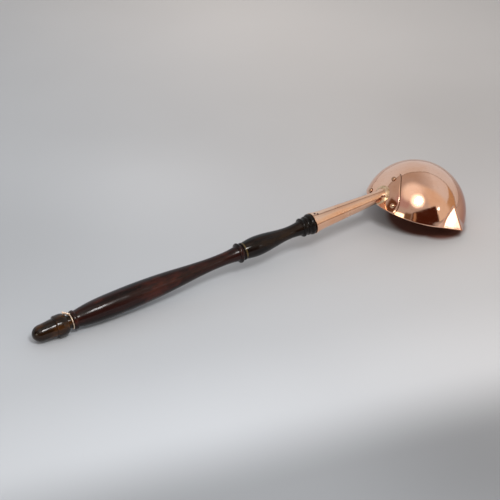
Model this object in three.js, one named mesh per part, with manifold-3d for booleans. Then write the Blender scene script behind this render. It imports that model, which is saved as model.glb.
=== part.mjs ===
import * as THREE from 'three';
import { mergeVertices } from 'three/addons/utils/BufferGeometryUtils.js';
import Module from 'manifold-3d';

const wasm = await Module();
wasm.setup();

// A copper ladle lying bowl-down: +Z is up, +X runs from the acorn finial to the bowl, and the
// origin is under the middle of the object on the surface that it lies on. Sizes are millimetres
// and degrees. Distances along the handle run from the tip of the finial.

// Bowl: a raised copper cup, part of a sphere and less than half, with a lip drawn out of its side
const bowlRadius = 71;
const bowlDepth = 62.5;
const bowlWall = 1.8;
const lipReach = 10.6;
const lipHalfAngle = 21;
const lipFromFarSide = 76.5;
const lipLean = 6.5;
const lipSharpness = 1.2;
const lipFade = 0.3;

// How the handle meets the bowl
const handleRise = 22;
const axisBelowBase = 23.7;

// Saddle plate and its three rivets
const plateThickness = 1.4;
const plateHalfWidth = 31.7;
const plateFoot = 1.2;
const plateWideHeight = 9;
const plateCornerRadius = 5.5;
const plateCrownPull = 8;
const plateSidePull = 13;
const rivetDiameter = 4.4;
const rivetHeadDiameter = 7;
const rivetHeadHeight = 2.6;
const rivetClenchDiameter = 7.4;
const rivetClenchHeight = 1.1;
const topRivetGap = 5.8;
const topRivetInset = 8.3;
const sideRivetInset = 7.8;
const sideRivetRise = 8.6;

// Copper socket: rolled sheet with a lapped seam, belled at the mouth and spread sideways at its foot
const socketReach = 169.4;
const socketMouthDiameter = 28.4;
const socketBodyDiameter = 25.8;
const socketWaistDiameter = 15.2;
const socketBellLength = 20;
const socketFlareDiameter = 20.8;
const socketFlareAtTop = 0.1;
const socketFlareLength = 10;
const socketWaistFromBowl = 7;
const socketWall = 1.2;
const seamStep = 0.7;
const seamAngle = 70;
const seamSpread = 75;
const seamEdge = 1;
const brazeWidth = 3;
const brazeHollow = 0.35;
const brazeEdge = 0.12;

// Acorn finial
const nutLength = 29;
const nutNoseLength = 12;
const nutNoseDiameter = 21.2;
const nutDiameter = 23.4;
const cupEdgeLength = 1.8;
const cupDiameter = 28;
const cupBandLength = 5.5;
const cupRoundLength = 8.5;
const cupFootDiameter = 20;
const neckDiameter = 16.8;
const neckLength = 6.2;

// Grip: a collar, a long swelling that tapers to a waist, and a thin disc
const collarDiameter = 24.2;
const collarWidth = 5;
const buttDiameter = 21.8;
const buttLength = 2.2;
const gripRise = 0.2;
const gripDiameter = 30.2;
const gripSwellLength = 61.5;
const gripShoulderDiameter = 27.2;
const gripShoulderLength = 52;
const gripShoulderFall = 0.058;
const gripWaistDiameter = 16.4;
const gripTaperLength = 82;
const gripEndDiameter = 20.6;
const gripFlareLength = 27;
const gripFlareRise = 0.22;
const discDiameter = 26.6;
const discWidth = 5;
const discFootLength = 1.9;

// Fore section: a foot bead, a long vase, a flange and two beads at its shoulder
const vaseFootDiameter = 21.8;
const footBeadDiameter = 23.4;
const footBeadWidth = 2.2;
const vaseRise = 0.2;
const vaseDiameter = 26.3;
const vaseSwellLength = 19.5;
const foreWaistDiameter = 16.7;
const vaseTaperLength = 49.5;
const flangeRootDiameter = 20;
const foreFlareLength = 17;
const foreFlareRise = 0.2;
const flangeDiameter = 25.4;
const flangeWidth = 4.6;
const coveDiameter = 22.6;
const coveWidth = 2.6;
const midBeadDiameter = 25.2;
const midBeadWidth = 3.8;
const endGrooveDiameter = 23.6;
const endGrooveWidth = 1.4;
const endBeadDiameter = 28.2;
const endBeadWidth = 5.8;

// Joints inside the handle
const spigotDiameter = 9;
const spigotLength = 22;
const tenonLength = 62;
const nailDiameter = 1.7;
const nailHeadDiameter = 3;
const nailLength = 9;
const nailFromMouth = 6.4;
const nailSpacing = 3.2;
const nailStagger = 4.6;
const nailTurn = 6;

// Brass wire round the neck, its ends twisted together
const wireDiameter = 1.7;
const twistLength = 11;
const twistTurns = 1.75;
const twistLean = 37;
const twistCore = 1.35;
const twistLobe = 0.55;

// Clearances
const seatGap = 0.3;
const fitGap = 0.3;
const boreEndGap = 1.5;

// Fineness of the facets
const bowlSides = 72;
const bowlSteps = 12;
const turnedSides = 30;
const smallSides = 14;
const socketSides = 36;
const socketSteps = [0, 0.05, 0.11, 0.19, 0.55, 0.9, 0.93, 0.955, 0.98, 1];
const tenonSteps = 6;
const outlineSteps = 9;
const ringSides = 28;
const wireSides = 8;
const tailSides = 10;
const tailSteps = 12;
const marchStep = 2;
const halvings = 30;

const copper = { color: 0xd98a66, metalness: 1, roughness: 0.16 };
const darkCopper = { color: 0xc47a58, metalness: 1, roughness: 0.24 };
const brass = { color: 0xc9a35a, metalness: 1, roughness: 0.3 };
const brownWood = { color: 0x3a1b12, metalness: 0, roughness: 0.28 };
const blackWood = { color: 0x1d1110, metalness: 0, roughness: 0.22 };

const radians = THREE.MathUtils.degToRad;

// Closed solids

// Turns faces outward and drops the folded triangles that a lathe leaves on its axis
function closed(geometry) {
  const bare = new THREE.BufferGeometry();
  bare.setAttribute('position', geometry.getAttribute('position').clone());
  if (geometry.index) bare.setIndex(geometry.index.clone());
  const merged = mergeVertices(bare, 1e-4);
  const place = merged.getAttribute('position');
  const corners = merged.index.array;
  const faces = [];
  let volume = 0;
  for (let i = 0; i < corners.length; i += 3) {
    const [a, b, c] = corners.slice(i, i + 3);
    if (a === b || b === c || c === a) continue;
    const [p, q, r] = [a, b, c].map((n) => new THREE.Vector3().fromBufferAttribute(place, n));
    volume += p.dot(q.cross(r));
    faces.push([a, b, c]);
  }
  if (volume < 0) faces.forEach((face) => face.reverse());
  merged.setIndex(faces.flat());
  return merged;
}

function solid(geometry) {
  const shape = closed(geometry);
  return new wasm.Manifold(new wasm.Mesh({
    numProp: 3,
    vertProperties: new Float32Array(shape.getAttribute('position').array),
    triVerts: new Uint32Array(shape.index.array),
  }));
}

function geometryOf(body) {
  const mesh = body.getMesh();
  const geometry = new THREE.BufferGeometry();
  geometry.setAttribute('position', new THREE.BufferAttribute(mesh.vertProperties, 3));
  geometry.setIndex(new THREE.BufferAttribute(mesh.triVerts, 1));
  geometry.computeVertexNormals();
  return geometry;
}

// Sections stand round an axis, each one a closed loop of points, and the last meets the first
function ringOfSections(sections) {
  const count = sections[0].length;
  const index = [];
  sections.forEach((section, i) => {
    const here = i * count;
    const next = ((i + 1) % sections.length) * count;
    section.forEach((point, j) => {
      const k = (j + 1) % count;
      index.push(here + j, next + j, next + k, here + j, next + k, here + k);
    });
  });
  const geometry = new THREE.BufferGeometry().setFromPoints(sections.flat());
  geometry.setIndex(index);
  return geometry;
}

// Sections stand one above the other, with a flat cap at each end
function stack(sections) {
  const count = sections[0].length;
  const top = (sections.length - 1) * count;
  const index = [];
  for (let i = 0; i < sections.length - 1; i += 1) {
    for (let j = 0; j < count; j += 1) {
      const here = i * count;
      const k = (j + 1) % count;
      index.push(here + j, here + k, here + count + k, here + j, here + count + k, here + count + j);
    }
  }
  for (let j = 1; j < count - 1; j += 1) {
    index.push(0, j + 1, j, top, top + j, top + j + 1);
  }
  const geometry = new THREE.BufferGeometry().setFromPoints(sections.flat());
  geometry.setIndex(index);
  return geometry;
}

// Lathe profiles

// Follows the tool along the work: `at` is the distance along the axis and `radius` the cut
class Turning {
  constructor(at) {
    this.at = at;
    this.radius = 0;
    this.points = [new THREE.Vector2(0, at)];
  }

  follow(curve, steps) {
    this.points.push(...curve.getPoints(steps).slice(1));
    const last = this.points.at(-1);
    this.radius = last.x;
    this.at = last.y;
    return this;
  }

  face(radius) {
    return this.follow(new THREE.LineCurve(this.here(), new THREE.Vector2(radius, this.at)), 1);
  }

  cone(length, radius) {
    return this.follow(new THREE.LineCurve(this.here(), new THREE.Vector2(radius, this.at + length)), 1);
  }

  // A smooth curve that leaves and arrives at the given slopes
  sweep(length, radius, leave, arrive, steps) {
    const third = length / 3;
    return this.follow(new THREE.CubicBezierCurve(
      this.here(),
      new THREE.Vector2(this.radius + leave * third, this.at + third),
      new THREE.Vector2(radius - arrive * third, this.at + length - third),
      new THREE.Vector2(radius, this.at + length),
    ), steps);
  }

  // A quarter of an ellipse from here, square to the axis at the start
  dome(length, radius, steps) {
    return this.follow(new THREE.EllipseCurve(
      this.radius, this.at + length, radius - this.radius, length, -Math.PI / 2, 0,
    ), steps);
  }

  // A quarter of an ellipse from here, parallel to the axis at the start
  roundIn(length, radius, steps) {
    return this.follow(new THREE.EllipseCurve(
      radius, this.at, this.radius - radius, length, 0, Math.PI / 2,
    ), steps);
  }

  bead(length, height, steps = 5) {
    return this.follow(new THREE.EllipseCurve(
      this.radius, this.at + length / 2, height, length / 2, -Math.PI / 2, Math.PI / 2,
    ), steps);
  }

  here() {
    return new THREE.Vector2(this.radius, this.at);
  }

  profile() {
    return this.radius > 0 ? [...this.points, new THREE.Vector2(0, this.at)] : this.points;
  }
}

// A lathe about +X, with one column of points straight down
function turned(profile, sides) {
  return new THREE.LatheGeometry(profile, sides).rotateZ(-Math.PI / 2);
}

// A lathe about +Z
function spun(profile, sides) {
  return new THREE.LatheGeometry(profile, sides).rotateX(Math.PI / 2);
}

// The handle's frame: +X along the handle from the tip of the finial, +Z over the bowl's base

function finialBody() {
  return new Turning(0)
    .dome(nutNoseLength, nutNoseDiameter / 2, 7)
    .sweep(nutLength - nutNoseLength, nutDiameter / 2, 0, 0, 2)
    .dome(cupEdgeLength, cupDiameter / 2, 3)
    .cone(cupBandLength, cupDiameter / 2)
    .roundIn(cupRoundLength, cupFootDiameter / 2, 4)
    .face(neckDiameter / 2)
    .cone(neckLength, neckDiameter / 2);
}

function gripBody(start) {
  return new Turning(start)
    .face(buttDiameter / 2)
    .bead(collarWidth, (collarDiameter - buttDiameter) / 2)
    .cone(buttLength, buttDiameter / 2)
    .sweep(gripSwellLength, gripDiameter / 2, gripRise, 0, 5)
    .sweep(gripShoulderLength, gripShoulderDiameter / 2, 0, -gripShoulderFall, 3)
    .sweep(gripTaperLength, gripWaistDiameter / 2, -gripShoulderFall, 0, 5)
    .sweep(gripFlareLength, gripEndDiameter / 2, 0, gripFlareRise, 4)
    .bead(discWidth, (discDiameter - gripEndDiameter) / 2)
    .cone(discFootLength, gripEndDiameter / 2);
}

function foreBody(start) {
  return new Turning(start)
    .face(vaseFootDiameter / 2)
    .bead(footBeadWidth, (footBeadDiameter - vaseFootDiameter) / 2, 4)
    .sweep(vaseSwellLength, vaseDiameter / 2, vaseRise, 0, 4)
    .sweep(vaseTaperLength, foreWaistDiameter / 2, 0, 0, 6)
    .sweep(foreFlareLength, flangeRootDiameter / 2, 0, foreFlareRise, 3)
    .bead(flangeWidth, (flangeDiameter - flangeRootDiameter) / 2)
    .face(coveDiameter / 2)
    .cone(coveWidth, coveDiameter / 2)
    .bead(midBeadWidth, (midBeadDiameter - coveDiameter) / 2, 4)
    .face(endGrooveDiameter / 2)
    .cone(endGrooveWidth, endGrooveDiameter / 2)
    .bead(endBeadWidth, (endBeadDiameter - endGrooveDiameter) / 2);
}

const neckEnd = finialBody().at;
const gripStart = neckEnd + seatGap;
const gripEnd = gripBody(gripStart).at;
const foreStart = gripEnd + seatGap;
const foreEnd = foreBody(foreStart).at;
const socketMouth = foreEnd + seatGap;
const bowlCentreAt = socketMouth + socketReach;

// The bowl is part of a sphere: how high the sphere's centre stands over the rim, or under it
const sphereRadius = (bowlRadius ** 2 + bowlDepth ** 2) / (2 * bowlDepth);
const sphereHeight = bowlDepth - sphereRadius;

function levelRadius(height) {
  return Math.sqrt(sphereRadius ** 2 - (height - sphereHeight) ** 2);
}

// The bowl's own frame: origin in the middle of the rim, +X away from the handle, +Z to the base
const handleAngle = radians(handleRise);
const bowlPlace = new THREE.Matrix4()
  .makeRotationY(handleAngle)
  .setPosition(bowlCentreAt, 0, axisBelowBase - bowlDepth);
const handleToBowl = bowlPlace.clone().invert();

function aroundHandle(at, radius, turn) {
  return new THREE.Vector3(at, -radius * Math.sin(turn), radius * Math.cos(turn));
}

// Where a line beside the handle, `radiusAt` from its axis, first meets a face `above` the bowl's
function meetBowl(radiusAt, turn, above) {
  const meets = (at) => {
    const point = aroundHandle(at, radiusAt(at), turn).applyMatrix4(handleToBowl);
    return Math.hypot(point.x, point.y, point.z - sphereHeight) < sphereRadius + above;
  };
  let inside = socketMouth;
  while (!meets(inside) && inside < bowlCentreAt) inside += marchStep;
  let outside = inside - marchStep;
  for (let i = 0; i < halvings; i += 1) {
    const at = (outside + inside) / 2;
    if (meets(at)) inside = at;
    else outside = at;
  }
  return outside;
}

const socketWaist = meetBowl(() => 0, 0, 0) - socketWaistFromBowl;

// Half the socket's outer diameter at a turn from the top: a taper, belled at the mouth, and spread
// at the foot, most of all at the sides
function socketRadius(at, turn) {
  const along = (at - socketMouth) / (socketWaist - socketMouth);
  const taper = THREE.MathUtils.lerp(socketBodyDiameter, socketWaistDiameter, Math.min(along, 1)) / 2;
  const bell = Math.max(0, 1 - (at - socketMouth) / socketBellLength) ** 2;
  const flare = THREE.MathUtils.smoothstep(at, socketWaist, socketWaist + socketFlareLength);
  const share = THREE.MathUtils.lerp(socketFlareAtTop, 1, Math.sin(turn) ** 2);
  return taper
    + bell * (socketMouthDiameter - socketBodyDiameter) / 2
    + flare * share * (socketFlareDiameter - socketWaistDiameter) / 2;
}

function spigotBore(start) {
  const radius = spigotDiameter / 2 + fitGap;
  const bore = new Turning(start)
    .face(radius)
    .cone(spigotLength + boreEndGap, radius);
  return solid(turned(bore.profile(), smallSides));
}

function makeFinial() {
  const turning = finialBody().face(spigotDiameter / 2).cone(spigotLength, spigotDiameter / 2);
  return geometryOf(solid(turned(turning.profile(), turnedSides)));
}

// Bored at both ends for the spigots of its neighbours
function makeGrip() {
  const body = solid(turned(gripBody(gripStart).profile(), turnedSides));
  const rear = spigotBore(gripStart - boreEndGap);
  const front = spigotBore(gripEnd - spigotLength);
  return geometryOf(body.subtract(rear).subtract(front));
}

// The spigot enters the grip and the tenon fills the socket's bore
function makeFore() {
  const outline = foreBody(foreStart);
  const spigot = new Turning(foreStart - spigotLength)
    .face(spigotDiameter / 2)
    .cone(spigotLength, spigotDiameter / 2);
  outline.points.splice(0, 1, ...spigot.points);
  for (let i = 0; i <= tenonSteps; i += 1) {
    const at = socketMouth + (i / tenonSteps) * tenonLength;
    const radius = socketRadius(at, 0) - socketWall - fitGap;
    if (i === 0) outline.face(radius);
    outline.cone(at - outline.at, radius);
  }
  let body = solid(turned(outline.profile(), turnedSides));
  for (const hole of nailHoles()) body = body.subtract(hole);
  return geometryOf(body);
}

// The bowl, in its own frame

// The lip's ridge is a straight line from its tip, and its root is where that touches the bowl
const lipTip = bowlRadius + lipReach;
const lipRootTurn = Math.acos(sphereRadius / Math.hypot(lipTip, sphereHeight))
  - Math.atan2(sphereHeight, lipTip);
const lipRootHeight = sphereHeight + sphereRadius * Math.sin(lipRootTurn);

function lipRise(height) {
  if (height >= lipRootHeight) return 0;
  const ridge = THREE.MathUtils.lerp(lipTip, levelRadius(lipRootHeight), height / lipRootHeight);
  return ridge - levelRadius(height);
}

// Pulls the points near the lip outward: most on the ridge, which leans toward the handle as it goes
// up, fading to nothing at the flanks
function drawLip(geometry) {
  const place = geometry.getAttribute('position');
  const point = new THREE.Vector3();
  for (let i = 0; i < place.count; i += 1) {
    point.fromBufferAttribute(place, i);
    const rise = lipRise(point.z);
    if (rise <= 0) continue;
    const ridge = radians(lipFromFarSide + lipLean * point.z / lipRootHeight);
    const turn = Math.atan2(point.y, point.x) + ridge;
    const away = Math.abs(Math.atan2(Math.sin(turn), Math.cos(turn)));
    const spread = radians(lipHalfAngle) * (rise / lipReach) ** lipFade;
    if (away >= spread) continue;
    const reach = Math.hypot(point.x, point.y);
    const pull = 1 + rise * (1 - away / spread) ** lipSharpness / reach;
    place.setXYZ(i, point.x * pull, point.y * pull, point.z);
  }
  return geometry;
}

// An arc that stands `out` of the bowl's outer face, from the base to the rim
function bowlArc(out) {
  const radius = sphereRadius + out;
  const rimTurn = Math.acos(-sphereHeight / radius);
  return Array.from({ length: bowlSteps + 1 }, (_, i) => {
    const turn = (i / bowlSteps) * rimTurn;
    return new THREE.Vector2(radius * Math.sin(turn), sphereHeight + radius * Math.cos(turn));
  });
}

function bowlLayer(inner, outer) {
  const profile = [...bowlArc(outer), ...bowlArc(inner).reverse()];
  const start = Math.PI / 2 - radians(lipFromFarSide);
  return new THREE.LatheGeometry(profile, bowlSides, start).rotateX(Math.PI / 2);
}

const plateSeat = seatGap;
const plateFace = plateSeat + plateThickness;

// A frame on the bowl's outer face, +Z outward, at a turn from the handle and a height
function onBowl(away, height) {
  const turn = Math.PI - away;
  const across = new THREE.Vector3(Math.cos(turn), Math.sin(turn), 0).multiplyScalar(levelRadius(height));
  const outward = across.clone().setZ(height - sphereHeight).normalize();
  const point = across.setZ(height);
  const upright = new THREE.Quaternion().setFromUnitVectors(new THREE.Vector3(0, 0, 1), outward);
  return new THREE.Matrix4().compose(point, upright, new THREE.Vector3(1, 1, 1));
}

// The top rivet clears the braze, and the plate's crown goes up with it
const brazeReach = seamRise(0) + seatGap + brazeWidth;
const brazeTop = besideSocket(socketFoot(0, brazeReach), 0, brazeReach).applyMatrix4(handleToBowl).z;
const topRivetHeight = brazeTop + topRivetGap + rivetHeadDiameter / 2;
const plateTop = topRivetHeight + topRivetInset;
const sideRivetHeight = plateFoot + sideRivetRise;
const sideRivetTurn = Math.asin((plateHalfWidth - sideRivetInset) / levelRadius(sideRivetHeight));

const rivetPlaces = {
  rivet_top: onBowl(0, topRivetHeight),
  rivet_left: onBowl(-sideRivetTurn, sideRivetHeight),
  rivet_right: onBowl(sideRivetTurn, sideRivetHeight),
};

function rivetHoles() {
  const radius = rivetDiameter / 2 + fitGap;
  const reach = 2 * (bowlWall + plateFace);
  return Object.values(rivetPlaces).map((place) => {
    const drill = new THREE.CylinderGeometry(radius, radius, 2 * reach, smallSides);
    return solid(drill.rotateX(Math.PI / 2).applyMatrix4(place));
  });
}

function makeBowl() {
  let body = solid(drawLip(bowlLayer(-bowlWall, 0)));
  for (const hole of rivetHoles()) body = body.subtract(hole);
  return geometryOf(body);
}

// The plate's outline, seen along the bowl's X axis: a rounded triangle on a straight foot
function plateOutline() {
  const shape = new THREE.Shape();
  const cornerX = plateHalfWidth - plateCornerRadius;
  const cornerY = plateFoot + plateCornerRadius;
  const shoulderY = plateWideHeight + plateSidePull;
  shape.moveTo(-cornerX, plateFoot);
  shape.lineTo(cornerX, plateFoot);
  shape.absarc(cornerX, cornerY, plateCornerRadius, -Math.PI / 2, 0);
  shape.lineTo(plateHalfWidth, plateWideHeight);
  shape.bezierCurveTo(plateHalfWidth, shoulderY, plateCrownPull, plateTop, 0, plateTop);
  shape.bezierCurveTo(
    -plateCrownPull, plateTop, -plateHalfWidth, shoulderY, -plateHalfWidth, plateWideHeight,
  );
  shape.lineTo(-plateHalfWidth, cornerY);
  shape.absarc(-cornerX, cornerY, plateCornerRadius, Math.PI, 1.5 * Math.PI);
  return shape;
}

function makePlate() {
  const punch = new THREE.ExtrudeGeometry(plateOutline(), {
    depth: 2 * bowlRadius,
    curveSegments: outlineSteps,
    bevelEnabled: false,
  });
  // The outline's X and Y become the bowl's -Y and Z, and it runs out over the handle's side
  punch.rotateX(Math.PI / 2).rotateZ(-Math.PI / 2);
  let body = solid(bowlLayer(plateSeat, plateFace)).intersect(solid(punch));
  for (const hole of rivetHoles()) body = body.subtract(hole);
  return geometryOf(body);
}

// Domed outside the plate and clenched flat inside the bowl
function makeRivet() {
  const shank = rivetDiameter / 2;
  const inside = -bowlWall - fitGap;
  const outside = plateFace + seatGap;
  const turning = new Turning(inside - rivetClenchHeight)
    .face(rivetClenchDiameter / 2 - rivetClenchHeight / 2)
    .cone(rivetClenchHeight, rivetClenchDiameter / 2)
    .face(shank)
    .cone(outside - inside, shank)
    .face(rivetHeadDiameter / 2)
    .roundIn(rivetHeadHeight, 0, 5);
  return geometryOf(solid(spun(turning.profile(), smallSides)));
}

// The socket, in the handle's frame

// A point `out` from the socket's face
function besideSocket(at, turn, out) {
  return aroundHandle(at, socketRadius(at, turn) + out, turn);
}

// Where a line along the socket, `out` from its face, comes to the plate
function socketFoot(turn, out) {
  return meetBowl((at) => socketRadius(at, turn) + out, turn, plateFace + seatGap);
}

// The lap of the rolled sheet: a step at the seam that fades away round the tube
function seamRise(turn) {
  const past = THREE.MathUtils.euclideanModulo(turn - radians(seamAngle), 2 * Math.PI);
  return seamStep * Math.max(0, 1 - past / radians(seamSpread)) ** 2;
}

function socketTurns() {
  const first = radians(seamAngle);
  const turns = Array.from({ length: socketSides }, (_, i) => first + (i / socketSides) * 2 * Math.PI);
  return [...turns, first + 2 * Math.PI - radians(seamEdge)];
}

function makeSocket() {
  const sections = socketTurns().map((turn) => {
    const skin = (out) => {
      const end = socketFoot(turn, out);
      return socketSteps.map((part) => besideSocket(THREE.MathUtils.lerp(socketMouth, end, part), turn, out));
    };
    return [...skin(seamRise(turn)), ...skin(-socketWall).reverse()];
  });
  let body = solid(ringOfSections(sections));
  for (const hole of nailHoles()) body = body.subtract(hole);
  return geometryOf(body);
}

// Runs round the line where the socket's foot meets the plate, hollow between the two
function makeBraze() {
  const sections = socketTurns().map((turn) => {
    const out = seamRise(turn) + seatGap;
    const corner = socketFoot(turn, out);
    const onSocket = besideSocket(corner - brazeWidth, turn, out);
    const onPlate = besideSocket(socketFoot(turn, out + brazeWidth), turn, out + brazeWidth);
    const root = besideSocket(corner, turn, out);
    const hollow = onSocket.clone().lerp(onPlate, 0.5).lerp(root, brazeHollow);
    const rim = onPlate.clone().lerp(onSocket, brazeEdge);
    const edge = onSocket.clone().lerp(onPlate, brazeEdge);
    return [root, onSocket, edge, hollow, rim, onPlate];
  });
  return geometryOf(solid(ringOfSections(sections)));
}

const nailPlaces = [-1, 1].map((side) => {
  const at = socketMouth + nailFromMouth + side * nailSpacing / 2;
  const turn = radians(nailTurn + side * nailStagger);
  return new THREE.Matrix4()
    .makeRotationX(turn)
    .setPosition(besideSocket(at, turn, 0));
});

function nailHoles() {
  const radius = nailDiameter / 2 + fitGap;
  const length = 2 * (nailLength + boreEndGap);
  return nailPlaces.map((place) => {
    const drill = new THREE.CylinderGeometry(radius, radius, length, smallSides);
    return solid(drill.rotateX(Math.PI / 2).applyMatrix4(place));
  });
}

function makeNail() {
  const turning = new Turning(-nailLength)
    .cone(nailDiameter, nailDiameter / 2)
    .cone(nailLength - nailDiameter + seatGap, nailDiameter / 2)
    .face(nailHeadDiameter / 2)
    .roundIn(nailHeadDiameter / 4, 0, 3);
  return geometryOf(solid(spun(turning.profile(), smallSides)));
}

// The wire, in the handle's frame

// Two strands twisted together: a waisted section that turns as it goes up, +Z from the ring
function twistedTail() {
  const sections = Array.from({ length: tailSteps + 1 }, (_, i) => {
    const turn = (i / tailSteps) * twistTurns * 2 * Math.PI;
    return Array.from({ length: tailSides }, (__, j) => {
      const angle = (j / tailSides) * 2 * Math.PI;
      const radius = (wireDiameter / 2) * (twistCore + twistLobe * Math.cos(2 * angle));
      return new THREE.Vector3(
        radius * Math.cos(angle + turn),
        radius * Math.sin(angle + turn),
        (i / tailSteps) * twistLength,
      );
    });
  });
  return stack(sections);
}

function makeWire() {
  const wire = wireDiameter / 2;
  const loop = neckDiameter / 2 + fitGap + wire;
  const ring = new THREE.TorusGeometry(loop, wire, wireSides, ringSides).rotateY(Math.PI / 2);
  const tail = twistedTail()
    .rotateY(radians(twistLean) - Math.PI / 2)
    .translate(0, 0, loop + wire);
  return geometryOf(solid(ring).add(solid(tail)));
}

// The scene

function mesh(name, geometry, finish) {
  const part = new THREE.Mesh(geometry, new THREE.MeshStandardMaterial(finish));
  part.name = name;
  return part;
}

function placed(part, matrix) {
  matrix.decompose(part.position, part.quaternion, part.scale);
  return part;
}

const bowlGroup = new THREE.Group();
bowlGroup.add(
  mesh('bowl', makeBowl(), copper),
  mesh('saddle_plate', makePlate(), copper),
);
for (const [name, place] of Object.entries(rivetPlaces)) {
  bowlGroup.add(placed(mesh(name, makeRivet(), darkCopper), place));
}
placed(bowlGroup, bowlPlace);

const handleGroup = new THREE.Group();
handleGroup.add(
  mesh('finial', makeFinial(), brownWood),
  mesh('grip', makeGrip(), brownWood),
  mesh('fore_section', makeFore(), blackWood),
  mesh('socket', makeSocket(), copper),
  mesh('braze_fillet', makeBraze(), brass),
  bowlGroup,
);
const wireAt = neckEnd - wireDiameter / 2 - seatGap;
const wirePlace = new THREE.Matrix4().makeTranslation(wireAt, 0, 0);
handleGroup.add(placed(mesh('neck_wire', makeWire(), brass), wirePlace));
nailPlaces.forEach((place, i) => {
  handleGroup.add(placed(mesh(`socket_nail_${i + 1}`, makeNail(), darkCopper), place));
});

// The ladle lies on the far side of its rim and on the finial, which sets the handle's slope
const farRim = new THREE.Vector3(bowlRadius, 0, 0).applyMatrix4(bowlPlace);
const slopes = finialBody().points.map((point) => Math.atan2(-point.x - farRim.z, farRim.x - point.y));
handleGroup.rotation.y = -Math.min(...slopes);

const ladle = new THREE.Group();
ladle.name = 'copper_ladle';
ladle.add(handleGroup);
ladle.updateMatrixWorld(true);
const box = new THREE.Box3().setFromObject(ladle, true);
const middle = box.getCenter(new THREE.Vector3());
handleGroup.position.set(-middle.x, -middle.y, -box.min.z);

export default ladle;
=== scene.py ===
from math import acos, asin, atan2, cos, hypot, pi, radians, sin, sqrt, tan

import bmesh
import bpy
from mathutils import Matrix, Vector, noise


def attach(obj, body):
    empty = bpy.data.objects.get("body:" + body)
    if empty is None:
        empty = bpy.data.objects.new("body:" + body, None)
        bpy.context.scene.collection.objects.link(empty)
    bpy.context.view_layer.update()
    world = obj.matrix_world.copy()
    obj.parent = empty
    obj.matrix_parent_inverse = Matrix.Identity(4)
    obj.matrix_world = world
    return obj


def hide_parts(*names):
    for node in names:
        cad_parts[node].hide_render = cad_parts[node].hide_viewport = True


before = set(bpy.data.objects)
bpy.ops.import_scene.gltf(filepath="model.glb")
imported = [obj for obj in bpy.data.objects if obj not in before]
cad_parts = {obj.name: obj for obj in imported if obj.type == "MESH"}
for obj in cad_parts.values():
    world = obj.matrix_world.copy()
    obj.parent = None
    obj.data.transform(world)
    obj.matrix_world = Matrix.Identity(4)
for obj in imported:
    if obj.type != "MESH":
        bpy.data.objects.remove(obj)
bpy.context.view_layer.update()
print("loaded the ladle's frame with", len(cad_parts), "solids")

scene = bpy.context.scene
scene.view_settings.view_transform = "Standard"
mm = 0.001


# Small sums

def lerp(a, b, share):
    return a + (b - a) * share


def easeStep(low, high, value):
    share = max(0.0, min(1.0, (value - low) / (high - low)))
    return share * share * (3 - 2 * share)


def cubic(knots, t):
    shares = ((1 - t) ** 3, 3 * t * (1 - t) ** 2, 3 * t * t * (1 - t), t ** 3)
    return sum(share * knot for share, knot in zip(shares, knots))


def roundTurns(count):
    return [2 * pi * i / count for i in range(count)]


def quarterRound(reach, steps):
    # A quarter of a circle: how far it has come along, and how far it has dropped
    turns = [pi / 2 * i / steps for i in range(steps + 1)]
    return [(reach * sin(turn), reach * (1 - cos(turn))) for turn in turns]


def wobble(x, y, z, seed):
    return noise.noise(Vector((x + 17.3 * seed, y - 9.1 * seed, z + 4.7 * seed)))


def wobbleShare(x, y, z, seed):
    # The same from about 0 to 1
    return 0.5 + 0.5 * wobble(x, y, z, seed)


# Where the handle and the bowl lie

placing = {
    "handleTip": (-317.172, 4.185, 11.317),  # the finial's tip
    "handlePitch": 4.901552,  # degrees, up toward the bowl
    "rimMiddle": (248.379, 4.185, 20.875),
    "bowlTilt": 17.098448,  # degrees, the base leans over to +X
}


def frameAt(origin, degrees):
    turn = Matrix.Rotation(radians(degrees), 4, "Y")
    return Matrix.Translation(Vector(origin) * mm) @ turn


handleFrame = frameAt(placing["handleTip"], -placing["handlePitch"])
bowlFrame = frameAt(placing["rimMiddle"], placing["bowlTilt"])


def intoScene(name, data):
    thing = bpy.data.objects.new(name, data)
    scene.collection.objects.link(thing)
    return thing


# Camera

viewpoint = {
    "position": (-678.882, -1104.756, 861.602),
    "forward": (0.43118, 0.72331, -0.53936),
    "up": (0.27617, 0.46329, 0.84207),
    "lens": 86.4, "sensorWidth": 36.0,
    "farthest": 50.0,  # metres
}


def setUpCamera():
    forward = Vector(viewpoint["forward"]).normalized()
    across = forward.cross(Vector(viewpoint["up"])).normalized()
    up = across.cross(forward)
    turn = Matrix((across, up, -forward)).transposed().to_4x4()
    lensData = bpy.data.cameras.new("camera")
    lensData.lens = viewpoint["lens"]
    lensData.sensor_width = viewpoint["sensorWidth"]
    lensData.clip_end = viewpoint["farthest"]
    camera = intoScene("camera", lensData)
    camera.matrix_world = Matrix.Translation(Vector(viewpoint["position"]) * mm) @ turn
    scene.camera = camera


setUpCamera()
print("camera set")


# Shader helpers

def newTree(owner):
    owner.use_nodes = True
    tree = owner.node_tree
    tree.nodes.clear()
    return tree


def add(tree, kind, values=None, **settings):
    node = tree.nodes.new("ShaderNode" + kind)
    for key, value in settings.items():
        setattr(node, key, value)
    for key, value in (values or {}).items():
        if isinstance(value, bpy.types.NodeSocket):
            tree.links.new(value, node.inputs[key])
        else:
            node.inputs[key].default_value = value
    return node


def sumOf(tree, how, a, b):
    return add(tree, "Math", {0: a, 1: b}, operation=how).outputs[0]


def measure(tree, how, vector, other):
    # The distance to a point, or how far the vector reaches along a direction
    return add(tree, "VectorMath", {0: vector, 1: tuple(other)}, operation=how).outputs[1]


def times(tree, *shares):
    product = shares[0]
    for share in shares[1:]:
        product = sumOf(tree, "MULTIPLY", product, share)
    return product


def asColour(tone):
    return tone if isinstance(tone, bpy.types.NodeSocket) else (*tone, 1.0)


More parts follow.
